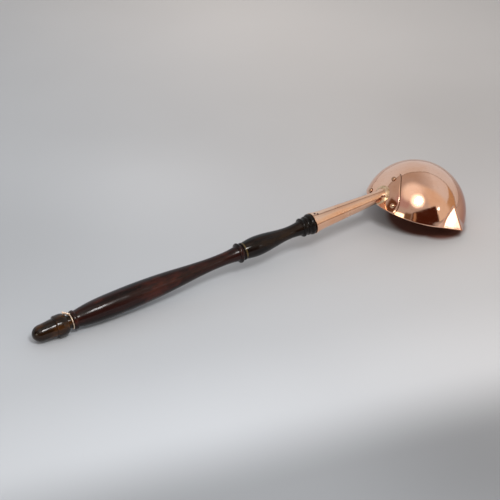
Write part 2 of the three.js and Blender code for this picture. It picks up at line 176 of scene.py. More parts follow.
def blend(tree, low, high, share, how="MIX"):
    values = {0: share, 6: asColour(low), 7: asColour(high)}
    return add(tree, "Mix", values, data_type="RGBA", blend_type=how).outputs[2]


def tinted(tree, tone, tint, share):
    return blend(tree, tone, blend(tree, tone, tint, 1.0, "MULTIPLY"), share)


def spread(tree, value, fromLow, fromHigh, toLow=0.0, toHigh=1.0, soft=True):
    values = {"Value": value, "From Min": fromLow, "From Max": fromHigh,
              "To Min": toLow, "To Max": toHigh}
    kind = "SMOOTHSTEP" if soft else "LINEAR"
    return add(tree, "MapRange", values, interpolation_type=kind).outputs[0]


def patchy(tree, tone, other, field, low, high, share=1.0):
    # The other tone shows where the field is high
    return blend(tree, tone, other, spread(tree, field, low, high, 0.0, share))


def grain(tree, coords, scale, detail=3.0, roughness=0.5, stretch=(1, 1, 1), shift=(0, 0, 0)):
    placed = add(tree, "Mapping", {"Vector": coords, "Scale": stretch, "Location": shift})
    values = {"Vector": placed.outputs[0], "Scale": scale, "Detail": detail, "Roughness": roughness}
    return add(tree, "TexNoise", values).outputs[0]


def bumped(tree, height, depth, distance, under=None):
    values = {"Height": height, "Strength": depth, "Distance": distance}
    if under is not None:
        values["Normal"] = under
    return add(tree, "Bump", values).outputs[0]


def closeFinish(tree, tone, dull, bump, more):
    values = {"Base Color": tone, "Roughness": dull, "Normal": bump, **more}
    skin = add(tree, "BsdfPrincipled", values)
    tree.links.new(skin.outputs[0], add(tree, "OutputMaterial").inputs[0])


# Studio: floor, lamp and room

cloth = {
    "size": 16.0, "squares": 24,  # metres, and squares along a side
    "tone": (0.545, 0.575, 0.618),
    "toneRight": (0.582, 0.568, 0.570),  # it warms between these two x
    "warmsFrom": -0.30, "warmsTo": 0.50,
    "patches": [  # painted pools of light and shade: middle x, y and reach in metres, then the lift
        (-0.36, -0.16, 0.30, 0.06), (-0.20, -0.24, 0.20, 0.03), (0.42, 0.76, 0.55, 0.24),
        (-0.04, 0.28, 0.22, 0.10), (-0.28, 0.22, 0.28, -0.10), (0.50, 0.15, 0.30, -0.10),
        (0.02, -0.43, 0.20, -0.14),
    ],
    "foldToward": (-0.213, -0.977, 0.0),  # then start, end and lift of the painted light and painted shade in this direction
    "paintedFoldLight": (0.12, 0.27, 0.13), "paintedFoldShade": (0.265, 0.380, -0.52),
    "paintedShadowUnderBowl": [(0.264, 0.000, 0.059), (0.264, -0.028, 0.0415)],  # painted shadow: middle x, y and reach
    "paintedShadowTone": (0.36, 0.16, 0.12), "paintedShadowFade": 0.012,
    "mottleScale": 3.0, "mottle": 0.015,
    "weaveScale": 900.0, "weaveDepth": 0.05, "weaveHeight": 0.0005,
    "roughness": 0.85, "specular": 0.15,
}


def floorFinish():
    finish = bpy.data.materials.new("pale_cloth")
    tree = newTree(finish)
    coords = add(tree, "TexCoord").outputs["Object"]
    level = 1.0
    # Painted pools of light and shade: each patch lifts or lowers the cloth's tone round its middle
    for x, y, reach, amount in cloth["patches"]:
        away = measure(tree, "DISTANCE", coords, (x, y, 0))
        level = sumOf(tree, "ADD", level, spread(tree, away, 0.0, reach, amount, 0.0))
    # A soft fold of the cloth in front, in painted light and shade: it lightens, then falls into
    # painted shade
    along = measure(tree, "DOT_PRODUCT", coords, cloth["foldToward"])
    for start, end, amount in (cloth["paintedFoldLight"], cloth["paintedFoldShade"]):
        level = sumOf(tree, "ADD", level, spread(tree, along, start, end, 0.0, amount))
    mottle = cloth["mottle"]
    cloud = grain(tree, coords, cloth["mottleScale"], detail=2.0)
    level = times(tree, level, spread(tree, cloud, 0.3, 0.7, 1 - mottle, 1 + mottle))
    toRight = add(tree, "SeparateXYZ", {0: coords}).outputs[0]
    warmth = spread(tree, toRight, cloth["warmsFrom"], cloth["warmsTo"])
    tone = blend(tree, cloth["tone"], cloth["toneRight"], warmth)
    tone = add(tree, "VectorMath", {0: tone, "Scale": level}, operation="SCALE").outputs[0]
    # Under the bowl the cloth gets a deep, red-brown painted shadow
    paintedShadow = 0.0
    for x, y, reach in cloth["paintedShadowUnderBowl"]:
        away = measure(tree, "DISTANCE", coords, (x, y, 0))
        patch = spread(tree, away, reach, reach - cloth["paintedShadowFade"])
        paintedShadow = sumOf(tree, "MAXIMUM", paintedShadow, patch)
    tone = tinted(tree, tone, cloth["paintedShadowTone"], paintedShadow)
    weave = grain(tree, coords, cloth["weaveScale"], detail=2.0)
    bump = bumped(tree, weave, cloth["weaveDepth"], cloth["weaveHeight"])
    closeFinish(tree, tone, cloth["roughness"], bump,
                {"Specular IOR Level": cloth["specular"]})
    return finish


def makeFloor():
    half, squares = cloth["size"] / 2, cloth["squares"]
    row = [lerp(-half, half, i / squares) for i in range(squares + 1)]
    points = [(x, y, 0.0) for y in row for x in row]
    up = squares + 1
    corners = [j * up + i for j in range(squares) for i in range(squares)]
    faces = [(corner, corner + 1, corner + up + 1, corner + up) for corner in corners]
    mesh = bpy.data.meshes.new("studio_floor")
    mesh.from_pydata(points, [], faces)
    mesh.materials.append(floorFinish())
    floor = intoScene("studio_floor", mesh)


lamp = {
    "position": (-0.180, -0.860, 1.250),  # metres, above the camera's right shoulder
    "target": (0.215, -0.040, 0.059),
    "width": 0.36, "radiance": 28.5,
}


def makeLamp():
    light = bpy.data.lights.new("round_softbox", "AREA")
    light.shape = "DISK"
    light.size = lamp["width"]
    light.energy = lamp["radiance"] * pi * pi * (lamp["width"] / 2) ** 2
    softbox = intoScene("round_softbox", light)
    aim = Vector(lamp["target"]) - Vector(lamp["position"])
    turn = aim.to_track_quat("-Z", "Y").to_matrix().to_4x4()
    softbox.matrix_world = Matrix.Translation(lamp["position"]) @ turn


room = {
    "skyline": (0.62, 0.62, 0.65),  # the plain tone that the camera sees past the floor
    "ceiling": (0.42, 0.39, 0.37),
    "ceilingRight": (0.62, 0.64, 0.65),
    "ceilingRamp": ((0.939, -0.344, -0.672), -0.55, 0.15),
    "rampShare": 0.85, "softEdge": 0.02, "strength": 1.07,
}
# The patches in the order of painting, each with its tone and where it lies.
# A side: a direction, then where along it the tone starts and is full.
# A corner: a side, kept between two azimuths, each with the softness of its edge.
# An opening: azimuth, height, width and height in degrees, then its softness.
# A glow: azimuth, height, outer and inner angle in degrees.
roomPatches = {
    "ceilingRight": (room["ceilingRight"], "side", (0.939, -0.344, -0.672), -0.006, 0.006),
    "rightWall": ((0.46, 0.33, 0.20), "side", (1.0, 0.0, -2.1), -0.03, 0.03),
    "nearRight": ((0.66, 0.58, 0.48), "corner", (0.3, -0.5, 0.0), -0.02, 0.02,
                  (-86, 0.10), (-40, 0.10)),
    "leftWall": ((0.40, 0.30, 0.30), "opening", -166, 47, 34, 28, 0.06),
    "backdropEdge": ((0.24, 0.19, 0.15), "side", (0.355, 0.935, -0.747), -0.040, -0.025),
    "backdrop": ((0.59, 0.64, 0.68), "side", (0.355, 0.935, -0.747), -0.004, 0.006),
    "darkRoom": ((0.050, 0.013, 0.006), "corner", (0.0, -1.0, -1.5), -0.03, 0.03,
                 (-133, 0.03), (-72, 0.012)),
    "doorway": ((0.40, 0.26, 0.16), "opening", -126, 16, 5, 20, 0.02),
    "curtain": ((0.14, 0.09, 0.055), "opening", -142, 17, 14, 16, 0.03),
    "leftDoor": ((0.110, 0.050, 0.025), "opening", 174, 25, 22, 26, 0.03),
    "window": ((3.60, 3.40, 2.60), "opening", -162, 13.5, 20, 13, 0.03),
    "glow": ((0.90, 0.86, 0.80), "glow", -150, 72, 28, 10),
    "halo": ((1.95, 1.85, 1.75), "glow", -119, 53, 18, 8),
    "sideWindow": ((3.1, 3.4, 3.7), "glow", -66, 24, 3.3, 1.5),
}


def heading(azimuth, height):
    a, e = radians(azimuth), radians(height)
    return Vector((cos(e) * cos(a), cos(e) * sin(a), sin(e)))


def leftOf(azimuth):
    a = radians(azimuth)
    return Vector((-sin(a), cos(a), 0))


def makeRoom():
    world = bpy.data.worlds.new("studio_room")
    scene.world = world
    tree = newTree(world)
    look = add(tree, "TexCoord").outputs["Generated"]

    def side(normal, low, high):
        return spread(tree, measure(tree, "DOT_PRODUCT", look, normal), low, high)

    def corner(normal, low, high, first, last):
        (start, startSoft), (end, endSoft) = first, last
        return times(tree, side(leftOf(start), -startSoft, startSoft),
                     side(-leftOf(end), -endSoft, endSoft), side(normal, low, high))

    def opening(azimuth, height, wide, high, soft):
        # An upright patch that faces the middle of the room
        middle, across = heading(azimuth, height), leftOf(azimuth)
        up = middle.cross(across)
        w, h = tan(radians(wide / 2)), tan(radians(high / 2))
        edges = (middle * w - across, middle * w + across, middle * h - up, middle * h + up)
        facing = side(middle, -room["softEdge"], room["softEdge"])
        return times(tree, facing, *[side(edge, -soft, soft) for edge in edges])

    def glow(azimuth, height, outer, inner):
        return side(heading(azimuth, height), cos(radians(outer)), cos(radians(inner)))

    # The ceiling lightens to the right, then come the patches
    ramp = times(tree, side(*room["ceilingRamp"]), room["rampShare"])
    tone = blend(tree, room["ceiling"], room["ceilingRight"], ramp)
    kinds = {"side": side, "corner": corner, "opening": opening, "glow": glow}
    for paint, kind, *where in roomPatches.values():
        tone = blend(tree, tone, paint, kinds[kind](*where))
    # What the camera itself sees past the floor is a plain pale grey
    rays = add(tree, "LightPath")
    tone = blend(tree, tone, room["skyline"], rays.outputs["Is Camera Ray"])
    back = add(tree, "Background", {"Color": tone, "Strength": room["strength"]})
    tree.links.new(back.outputs[0], add(tree, "OutputWorld").inputs[0])


makeFloor()
makeLamp()
makeRoom()
print("studio set")


# Pieces from points

def addPiece(name, shape, place, finish, node, creaseAngle=32, elsewhere=None):
    # The place goes into the points. Elsewhere is a second finish and the faces that wear it
    points, faces = shape
    mesh = bpy.data.meshes.new(name)
    mesh.from_pydata([tuple(place @ (Vector(p) * mm)) for p in points], [], faces)
    work = bmesh.new()
    work.from_mesh(mesh)
    bmesh.ops.recalc_face_normals(work, faces=work.faces)
    work.to_mesh(mesh)
    work.free()
    mesh.shade_smooth()
    mesh.set_sharp_from_angle(angle=radians(creaseAngle))
    mesh.materials.append(finish)
    if elsewhere:
        secondFinish, there = elsewhere
        mesh.materials.append(secondFinish)
        for face in mesh.polygons:
            face.material_index = int(face.index in there)
    piece = intoScene(name, mesh)
    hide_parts(node)
    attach(piece, "root")


def joinLoops(loops):
    # Closed loops of the same count, each joined to the next and the last to the first
    count = len(loops[0])
    points = [tuple(p) for loop in loops for p in loop]
    faces = []
    for i in range(len(loops)):
        here = i * count
        there = ((i + 1) % len(loops)) * count
        for j in range(count):
            k = (j + 1) % count
            faces.append((here + j, there + j, there + k, here + k))
    return points, faces


def joinRings(rings, startPoint=None, endPoint=None):
    # Rings one after the other, closed at each end by a point or by a flat face
    count = len(rings[0])
    points = [tuple(p) for ring in rings for p in ring]
    faces = []
    for i in range(len(rings) - 1):
        here = i * count
        for j in range(count):
            k = (j + 1) % count
            faces.append((here + j, here + k, here + count + k, here + count + j))
    for first, tip in ((0, startPoint), ((len(rings) - 1) * count, endPoint)):
        if tip is None:
            faces.append(tuple(range(first, first + count)))
            continue
        points.append(tuple(tip))
        tipIndex = len(points) - 1
        faces.extend((first + j, first + (j + 1) % count, tipIndex) for j in range(count))
    return points, faces


def addTogether(*shapes):
    points, faces = [], []
    for morePoints, moreFaces in shapes:
        start = len(points)
        points.extend(morePoints)
        faces.extend(tuple(start + i for i in face) for face in moreFaces)
    return points, faces


class Turning:
    # Follows the tool along the work: where it is along the axis, and the radius it cuts
    def __init__(self, at):
        self.cuts = [(at, 0.0)]

    @property
    def at(self):
        return self.cuts[-1][0]

    @property
    def radius(self):
        return self.cuts[-1][1]

    def face(self, radius):
        self.cuts.append((self.at, radius))
        return self

    def cone(self, length, radius, steps=1):
        at, start = self.cuts[-1]
        for i in range(1, steps + 1):
            self.cuts.append((at + length * i / steps, lerp(start, radius, i / steps)))
        return self

    def sweep(self, length, radius, leave=0.0, arrive=0.0, steps=16):
        # Leaves and arrives at the given slopes
        at, start = self.cuts[-1]
        third = length / 3
        knots = (start, start + leave * third, radius - arrive * third, radius)
        for i in range(1, steps + 1):
            self.cuts.append((at + length * i / steps, cubic(knots, i / steps)))
        return self

    def arc(self, middle, reach, fromTurn, toTurn, steps):
        for i in range(1, steps + 1):
            turn = radians(lerp(fromTurn, toTurn, i / steps))
            self.cuts.append((middle[0] + reach[0] * sin(turn),
                              middle[1] + reach[1] * cos(turn)))
        return self

    def dome(self, length, radius, steps=10):
        # A quarter of an ellipse, square to the axis at the start
        return self.arc((self.at + length, self.radius), (length, radius - self.radius), -90, 0, steps)

    def roundIn(self, length, radius, steps=10):
        # A quarter of an ellipse, parallel to the axis at the start
        return self.arc((self.at, radius), (length, self.radius - radius), 0, 90, steps)

    def bead(self, length, height, steps=14):
        return self.arc((self.at + length / 2, self.radius), (length / 2, height), -90, 90, steps)


def aroundHandle(at, radius, turn):
    # The turn is from the top, toward the lip's side
    return Vector((at, -radius * sin(turn), radius * cos(turn)))


def aroundUpright(at, radius, turn):
    return Vector((radius * cos(turn), radius * sin(turn), at))


sidesOfTurning = 128
onAxis = 1e-9  # a cut with less radius than this is a point
wanderAlong, wanderAround = 0.035, 0.09  # how fast the unevenness changes, per millimetre


def turnedShape(cuts, unevenness, seed, around=aroundHandle, sides=sidesOfTurning):
    tips = [around(at, 0, 0) if radius < onAxis else None for at, radius in (cuts[0], cuts[-1])]
    rings = []
    for at, radius in cuts:
        if radius < onAxis:
            continue
        ring = []
        for turn in roundTurns(sides):
            hollow = wobbleShare(at * wanderAlong, radius * sin(turn) * wanderAround,
                                 radius * cos(turn) * wanderAround, seed)
            ring.append(around(at, radius - unevenness * hollow, turn))
        rings.append(ring)
    return joinRings(rings, *tips)


# Finishes

def finishTree(name, place):
    # The grain follows the handle or the bowl, so its coordinates are measured from there
    finish = bpy.data.materials.new(name)
    tree = newTree(finish)
    world = add(tree, "TexCoord").outputs["Object"]
    values = {"Vector": world, "Location": place.translation, "Rotation": place.to_euler()}
    coords = add(tree, "Mapping", values, vector_type="TEXTURE").outputs[0]
    return finish, tree, coords


bowlLook = {
    "bright": (0.93, 0.575, 0.425), "warm": (0.88, 0.49, 0.325), "dark": (0.46, 0.21, 0.12),
    "cloudScale": 26.0, "freckleScale": 420.0, "freckle": 0.35,
    "strokes": (9.0, 1.0, 0.6), "strokeScale": 60.0, "lineDepth": 0.14, "lineHeight": 0.0002,
    "wearScale": 38.0, "gloss": 0.055, "dull": 0.12,
    "dentScale": 80.0, "dentDepth": 0.11, "dentHeight": 0.001,
}
# The outside gets painted shade, browner away from the handle: a direction, from where to where along
# it, and a tint
outerLook = dict(bowlLook, paintedShadeAway=((1.0, -0.15, -0.15), 0.015, 0.043, (0.46, 0.22, 0.14)))
# The inside is a darker, rougher copper
insideLook = dict(bowlLook, bright=(0.34, 0.14, 0.085), warm=(0.24, 0.09, 0.05),
                  gloss=0.32, dull=0.45)
# Painted shade, worn by the plate's edge wall and round the rivets' feet
paintedShadeLook = dict(bowlLook, bright=(0.26, 0.12, 0.07), warm=(0.14, 0.07, 0.04), gloss=0.35, dull=0.5)
socketLook = dict(bowlLook, bright=(0.93, 0.60, 0.43), warm=(0.88, 0.49, 0.31),
                  strokes=(0.4, 9.0, 9.0), gloss=0.15, dull=0.30, lineDepth=0.35,
                  dentScale=70.0, dentDepth=0.12)
# Painted dark lines on the socket: painted shade by the lap seam, and a painted dark reflection near
# the top
paintedLinesLook = dict(socketLook, bright=(0.42, 0.21, 0.13), warm=(0.34, 0.16, 0.10),
                  gloss=0.3, dull=0.45)
rivetLook = dict(bowlLook, bright=(0.66, 0.44, 0.30), warm=(0.50, 0.28, 0.17), cloudScale=180.0,
                 freckle=0.6, gloss=0.12, dull=0.26, dentScale=260.0, dentDepth=0.25)
nailLook = dict(rivetLook, bright=(0.13, 0.06, 0.04), warm=(0.07, 0.03, 0.02), gloss=0.4, dull=0.6)


def copperFinish(name, look, place):
    finish, tree, coords = finishTree(name, place)
    # Clouds of warmer copper and darker freckles
    cloud = grain(tree, coords, look["cloudScale"], detail=5.0, roughness=0.55)
    tone = patchy(tree, look["bright"], look["warm"], cloud, 0.35, 0.70)
    freckles = grain(tree, coords, look["freckleScale"], roughness=0.6, shift=(3, 1, 2))
    tone = patchy(tree, tone, look["dark"], freckles, 0.62, 0.74, look["freckle"])
    # Painted shade: the tone browns along the given direction
    if "paintedShadeAway" in look:
        toward, start, end, tint = look["paintedShadeAway"]
        along = measure(tree, "DOT_PRODUCT", coords, toward)
        tone = tinted(tree, tone, tint, spread(tree, along, start, end, soft=False))
    # Polishing marks: fine lines in two directions, over the broad dents of the hammer
    strokes = look["strokes"]
    smears = [grain(tree, coords, look["strokeScale"], 4.0, 0.6, stretch, shift)
              for stretch, shift in ((strokes, (0, 0, 0)), (strokes[::-1], (5, 2, 8)))]
    lines = bumped(tree, sumOf(tree, "ADD", *smears), look["lineDepth"], look["lineHeight"])
    dents = grain(tree, coords, look["dentScale"], detail=1.5, roughness=0.4, shift=(9, 4, 6))
    bump = bumped(tree, dents, look["dentDepth"], look["dentHeight"], under=lines)
    wear = grain(tree, coords, look["wearScale"], detail=5.0, roughness=0.6, shift=(1, 7, 3))
    dull = spread(tree, wear, 0.3, 0.75, look["gloss"], look["dull"])
    closeFinish(tree, tone, dull, bump, {"Metallic": 1.0})
    return finish


brazeLook = {
    "bright": (0.92, 0.67, 0.45), "olive": (0.52, 0.33, 0.17), "copper": (0.78, 0.44, 0.26),
    "patchScale": 110.0, "copperScale": 150.0, "copperShare": 0.8,
    "wearScale": 320.0, "gloss": 0.18, "dull": 0.36,
    "lumpScale": 420.0, "lumpDepth": 0.22, "lumpHeight": 0.0004,
}
wireLook = dict(brazeLook, bright=(0.92, 0.74, 0.62), olive=(0.70, 0.56, 0.40),
                copper=(0.84, 0.62, 0.48), gloss=0.35, dull=0.55, patchScale=210.0, lumpDepth=0.30)


def brassFinish(name, look, place):
    finish, tree, coords = finishTree(name, place)
    patches = grain(tree, coords, look["patchScale"], detail=4.0, roughness=0.6)
    tone = patchy(tree, look["bright"], look["olive"], patches, 0.40, 0.68)
    coppery = grain(tree, coords, look["copperScale"], shift=(4, 4, 1))
    tone = patchy(tree, tone, look["copper"], coppery, 0.52, 0.68, look["copperShare"])
    wear = grain(tree, coords, look["wearScale"])
    dull = spread(tree, wear, 0.3, 0.7, look["gloss"], look["dull"])
    lumps = grain(tree, coords, look["lumpScale"])
    bump = bumped(tree, lumps, look["lumpDepth"], look["lumpHeight"])
    closeFinish(tree, tone, dull, bump, {"Metallic": 1.0})
    return finish


gripLook = {
    "dark": (0.006, 0.0026, 0.0023), "mid": (0.023, 0.0070, 0.0056), "red": (0.080, 0.017, 0.010),
    "figureScale": 10.0, "figureStretch": (1.0, 9.0, 9.0),
    "rubbedScale": 22.0, "rubbedStretch": (1.0, 2.6, 2.6), "redShare": 0.7,
    "poreScale": 95.0, "poreStretch": (1.0, 11.0, 11.0), "poreShare": 0.75,
    "poreDepth": 0.12, "poreHeight": 0.0004,
    "wearScale": 40.0, "gloss": 0.10, "dull": 0.24, "specular": 0.24,
    "dentScale": 75.0, "dentDepth": 0.20, "dentHeight": 0.0008,
}
foreLook = dict(gripLook, dark=(0.004, 0.003, 0.0028), mid=(0.011, 0.0065, 0.005),
                red=(0.038, 0.017, 0.008), redShare=0.45, gloss=0.06, dull=0.16, specular=0.21)
finialLook = dict(gripLook, dark=(0.005, 0.0028, 0.0018), mid=(0.023, 0.010, 0.004),
                  red=(0.150, 0.056, 0.014), redShare=0.6, gloss=0.06, dull=0.15, specular=0.31)
jointLook = dict(gripLook, dark=(0.04, 0.028, 0.01), mid=(0.13, 0.09, 0.035), red=(0.18, 0.12, 0.05))


def woodFinish(name, look, place):
    finish, tree, coords = finishTree(name, place)
    # Long figure along the handle, then rubbed places where red shows, and fine pores on top
    figure = grain(tree, coords, look["figureScale"], 6.0, 0.65, look["figureStretch"])
    tone = patchy(tree, look["dark"], look["mid"], figure, 0.36, 0.62)
    lighterPlaces = grain(tree, coords, look["rubbedScale"], 5.0, 0.6, look["rubbedStretch"], (2, 5, 1))
    tone = patchy(tree, tone, look["red"], lighterPlaces, 0.50, 0.72, look["redShare"])
    pores = grain(tree, coords, look["poreScale"], 4.0, 0.6, look["poreStretch"], (7, 1, 4))
    tone = patchy(tree, tone, look["dark"], pores, 0.60, 0.70, look["poreShare"])
    wear = grain(tree, coords, look["wearScale"], 4.0, 0.6, stretch=(1, 3, 3))
    dull = spread(tree, wear, 0.3, 0.7, look["gloss"], look["dull"])
    poreBump = bumped(tree, pores, look["poreDepth"], look["poreHeight"])
    dents = grain(tree, coords, look["dentScale"], 3.0, 0.55, (1, 2, 2), (3, 3, 9))
    bump = bumped(tree, dents, look["dentDepth"], look["dentHeight"], under=poreBump)
    closeFinish(tree, tone, dull, bump, {"Specular IOR Level": look["specular"]})
    return finish


finishes = {
    "bowl": copperFinish("polished_bowl_copper", outerLook, bowlFrame),
    "inside": copperFinish("dark_inside_copper", insideLook, bowlFrame),
    "edge": copperFinish("painted_shade_edges", paintedShadeLook, bowlFrame),
    "socket": copperFinish("drawn_socket_copper", socketLook, handleFrame),
    "paintedLines": copperFinish("painted_dark_lines", paintedLinesLook, handleFrame),
    "rivet": copperFinish("dulled_rivet_copper", rivetLook, bowlFrame),
    "nail": copperFinish("dark_nail_copper", nailLook, handleFrame),
    "braze": brassFinish("run_braze", brazeLook, handleFrame),
    "wire": brassFinish("old_brass_wire", wireLook, handleFrame),
    "grip": woodFinish("rubbed_brown_wood", gripLook, handleFrame),
    "finial": woodFinish("acorn_wood", finialLook, handleFrame),
    "fore": woodFinish("near_black_wood", foreLook, handleFrame),
    "joint": woodFinish("gold_band_joint", jointLook, handleFrame),
}
print("finishes mixed:", len(finishes))


# Finial: an acorn in its cup

acorn = {
    "nutLength": 29.0, "noseLength": 12.0, "noseRadius": 10.6, "nutRadius": 11.7,
    "cupLip": 1.8, "cupRadius": 14.0, "cupBand": 5.5, "cupRound": 8.5, "cupFootRadius": 10.0,
    "neckRadius": 8.4, "neckLength": 6.2, "unevenness": 0.12, "tipWorn": 0.05,
}


def makeFinial():
    turning = (Turning(acorn["tipWorn"])
        .dome(acorn["noseLength"] - acorn["tipWorn"], acorn["noseRadius"], steps=22)
        .sweep(acorn["nutLength"] - acorn["noseLength"], acorn["nutRadius"], steps=12)
        .dome(acorn["cupLip"], acorn["cupRadius"], steps=8)
        .cone(acorn["cupBand"], acorn["cupRadius"], steps=4)
        .roundIn(acorn["cupRound"], acorn["cupFootRadius"], steps=14)
        .face(acorn["neckRadius"])
        .cone(acorn["neckLength"], acorn["neckRadius"], steps=4)
        .face(0))
    shape = turnedShape(turning.cuts, acorn["unevenness"], 1)
    addPiece("acorn_finial", shape, handleFrame, finishes["finial"], "finial")
    return turning.at


# Grip

grip = {
    "gap": 0.3, "buttRadius": 10.9, "collarWidth": 5.0, "collarRise": 1.2, "buttLength": 2.2,
    "swellLength": 61.5, "swellRadius": 15.1, "swellRise": 0.2,
    "shoulderLength": 52.0, "shoulderRadius": 13.6, "shoulderFall": 0.058,
    "taperLength": 82.0, "waistRadius": 8.2,
    "flareLength": 27.0, "endRadius": 10.3, "flareRise": 0.22,
    "discWidth": 5.0, "discRise": 3.0, "discFoot": 1.9, "unevenness": 0.16,
}


def makeGrip(start):
    fall = grip["shoulderFall"]
    turning = (Turning(start)
        .face(grip["buttRadius"])
        .bead(grip["collarWidth"], grip["collarRise"])
        .cone(grip["buttLength"], grip["buttRadius"], steps=2)
        .sweep(grip["swellLength"], grip["swellRadius"], leave=grip["swellRise"], steps=26)
        .sweep(grip["shoulderLength"], grip["shoulderRadius"], arrive=-fall, steps=20)
        .sweep(grip["taperLength"], grip["waistRadius"], leave=-fall, steps=28)
        .sweep(grip["flareLength"], grip["endRadius"], arrive=grip["flareRise"], steps=14)
        .bead(grip["discWidth"], grip["discRise"])
        .cone(grip["discFoot"], grip["endRadius"])
        .face(0))
    shape = turnedShape(turning.cuts, grip["unevenness"], 2)
    addPiece("turned_grip", shape, handleFrame, finishes["grip"], "grip")
    return turning.at


# Fore section

fore = {
    "gap": 0.3, "footRadius": 10.9, "footBead": 2.2, "footBeadRise": 0.8,
    "vaseSwell": 19.5, "vaseRadius": 13.15, "vaseRise": 0.2, "vaseTaper": 49.5, "waistRadius": 8.35,
    "flareLength": 17.0, "flangeRoot": 10.0, "flareRise": 0.2, "flangeWidth": 4.6, "flangeRise": 2.7,
    "coveRadius": 11.3, "coveWidth": 2.6, "midBead": 3.8, "midBeadRise": 1.3,
    "grooveRadius": 11.8, "grooveWidth": 1.4, "endBead": 5.8, "endBeadRise": 2.3, "unevenness": 0.1,
    "goldBandRows": (6, 11),  # rows of the foot bead that show gold
}


def makeFore(start):
    turning = (Turning(start)
        .face(fore["footRadius"])
        .bead(fore["footBead"], fore["footBeadRise"], steps=10)
        .sweep(fore["vaseSwell"], fore["vaseRadius"], leave=fore["vaseRise"], steps=14)
        .sweep(fore["vaseTaper"], fore["waistRadius"], steps=24)
        .sweep(fore["flareLength"], fore["flangeRoot"], arrive=fore["flareRise"], steps=12)
        .bead(fore["flangeWidth"], fore["flangeRise"])
        .face(fore["coveRadius"])
        .cone(fore["coveWidth"], fore["coveRadius"])
        .bead(fore["midBead"], fore["midBeadRise"], steps=12)
        .face(fore["grooveRadius"])
        .cone(fore["grooveWidth"], fore["grooveRadius"])
        .bead(fore["endBead"], fore["endBeadRise"])
        .face(0))
    shape = turnedShape(turning.cuts, fore["unevenness"], 3)
    # The foot bead's rows by the joint wear a lighter gold tone
    lighterPlaces = range(*[row * sidesOfTurning for row in fore["goldBandRows"]])
    addPiece("turned_fore_section", shape, handleFrame, finishes["fore"],
             "fore_section", elsewhere=(finishes["joint"], lighterPlaces))
    return turning.at


neckEnd = makeFinial()
gripEnd = makeGrip(neckEnd + grip["gap"])
foreEnd = makeFore(gripEnd + fore["gap"])
print("handle turned, from the tip to", round(foreEnd, 1), "mm")


# Neck wire: a ring with its ends twisted together

wire = {
    "radius": 1.0, "worn": 0.93, "fromNeckEnd": 1.15, "gap": 0.3,
    "sections": 120, "sides": 18, "squeeze": 0.06, "squeezeSpan": 1.5, "lean": 0.10,
    "tailLength": 11.0, "tailTurns": 1.75, "tailLean": 37.0, "tailSunk": 0.4, "tailSteps": 56,
    "strandRadius": 0.92, "strandOffset": 0.85, "strandSides": 14,
    "strandLengths": (0.93, 1.0), "partFrom": -0.06, "partTo": 0.10,
    "nippedFrom": 0.97, "nipped": 0.7,
}


def tubeAlong(path, radiusAt, sides):
    # A round tube that follows the path, with no twist of its own
    rings = []
    across = (path[1] - path[0]).normalized().orthogonal().normalized()
    for i, point in enumerate(path):
        ahead = (path[min(i + 1, len(path) - 1)] - path[max(i - 1, 0)]).normalized()
        across = (across - ahead * across.dot(ahead)).normalized()
        beside = ahead.cross(across)
        radius = radiusAt(i / (len(path) - 1))
        rings.append([point + (across * cos(turn) + beside * sin(turn)) * radius
                      for turn in roundTurns(sides)])
    return joinRings(rings)


def wireRing(loop, middle):
    span, thick = wire["squeezeSpan"], wire["radius"] * wire["worn"]
    loops = []
    for turn in roundTurns(wire["sections"]):
        x, y = cos(turn), sin(turn)
        reach = loop - wire["squeeze"] * wobbleShare(x * span, y * span, 0, 4)
        lean = wire["lean"] * wobble(x, y, 2.0, 5)
        loops.append([aroundHandle(middle + lean + thick * sin(angle),
                                   reach + thick * cos(angle), turn)
                      for angle in roundTurns(wire["sides"])])
    return joinLoops(loops)


def wireStrand(foot, lengthShare, startTurn):
    lean = radians(wire["tailLean"])
    ahead = Vector((-cos(lean), 0, sin(lean)))
    across = Vector((sin(lean), 0, cos(lean)))
    path = []
    for i in range(wire["tailSteps"] + 1):
        share = i / wire["tailSteps"]
        turn = 2 * pi * wire["tailTurns"] * share + startTurn
        offset = wire["strandOffset"] * easeStep(wire["partFrom"], wire["partTo"], share)
        outward = across * cos(turn) + Vector((0, 1, 0)) * sin(turn)
        path.append(foot + ahead * (wire["tailLength"] * share * lengthShare) + outward * offset)

    def radiusAt(share):
        return wire["strandRadius"] * (1 if share < wire["nippedFrom"] else wire["nipped"])

    return tubeAlong(path, radiusAt, wire["strandSides"])


def makeWire():
    loop = acorn["neckRadius"] + wire["gap"] + wire["radius"]
    middle = neckEnd - wire["fromNeckEnd"]
    foot = Vector((middle, 0, loop + wire["radius"] * wire["tailSunk"]))
    strands = [wireStrand(foot, share, pi * k) for k, share in enumerate(wire["strandLengths"])]
    shape = addTogether(wireRing(loop, middle), *strands)
    addPiece("twisted_neck_wire", shape, handleFrame, finishes["wire"], "neck_wire",
             creaseAngle=50)


makeWire()
print("neck wire twisted")


# Bowl

bowl = {
    "radius": 71.0, "depth": 62.5, "wall": 1.8, "edgeRound": 0.6,
    "lipReach": 10.6, "lipHalfAngle": 22.5, "lipFromFarSide": 76.5, "lipLean": 6.5, "lipWithin": 45,
    "crestRound": 1.6, "creaseRound": 0.15, "rootFade": 6.0,
    "pressedHalfAngle": 19.4, "pressedTop": 32.5, "pressedCurve": 1.9, "pressedEase": 4.5,
    "rowsOutside": 90, "rowsInside": 44, "edgeRows": 6, "rimRows": 4,
    "fineTo": 36, "fineStep": 0.5, "wideStep": 1.5,
    "dents": 0.045, "dentSpan": 16.0, "planished": 0.11, "planishedAbove": 4.0,
}
sphereRadius = (bowl["radius"] ** 2 + bowl["depth"] ** 2) / (2 * bowl["depth"])
sphereHeight = bowl["depth"] - sphereRadius


def levelRadius(height, out=0.0):
    return sqrt((sphereRadius + out) ** 2 - (height - sphereHeight) ** 2)


